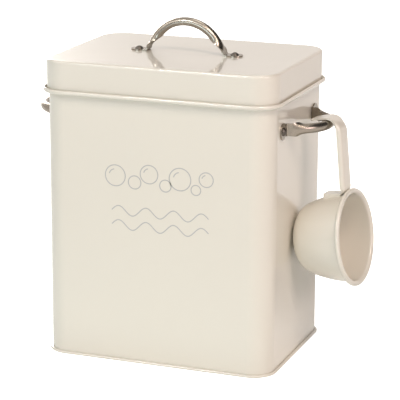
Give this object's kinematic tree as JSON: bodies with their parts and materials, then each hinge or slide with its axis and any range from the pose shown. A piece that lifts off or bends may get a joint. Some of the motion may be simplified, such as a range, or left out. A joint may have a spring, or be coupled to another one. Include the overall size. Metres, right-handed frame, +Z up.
{
  "type": "metal laundry powder box",
  "caption": "Upright painted steel box with a slip-on lid, riveted steel bow handles and a hook-handled scoop hung on its side, for keeping laundry powder.",
  "frame": {"origin": "middle of the plane that the box stands on, under the middle of its four walls", "axes": "+Z up, -Y out of the broad front, +X out of the narrow side that carries the scoop"},
  "size_m": [0.2601, 0.141, 0.2554],
  "materials": {
    "body_paint": "gloss",
    "lid_paint": "gloss",
    "scoop_paint": "gloss",
    "steel": "polished"
  },
  "bodies": {
    "box": {"wall": "body_paint", "base": "body_paint", "left_handle": "steel", "right_handle": "steel", "left_rivet_front": "steel", "left_rivet_back": "steel", "right_rivet_front": "steel", "right_rivet_back": "steel", "scoop_bowl": "scoop_paint", "scoop_handle": "scoop_paint"},
    "lid": {"lid": "lid_paint", "lid_handle": "steel", "lid_rivet_left": "steel", "lid_rivet_right": "steel"}
  },
  "joints": [
    {"name": "lid_lift", "type": "slide", "parent": "box", "child": "lid", "axis": [0, 0, 1], "range_m": [0, 0.08]}
  ]
}
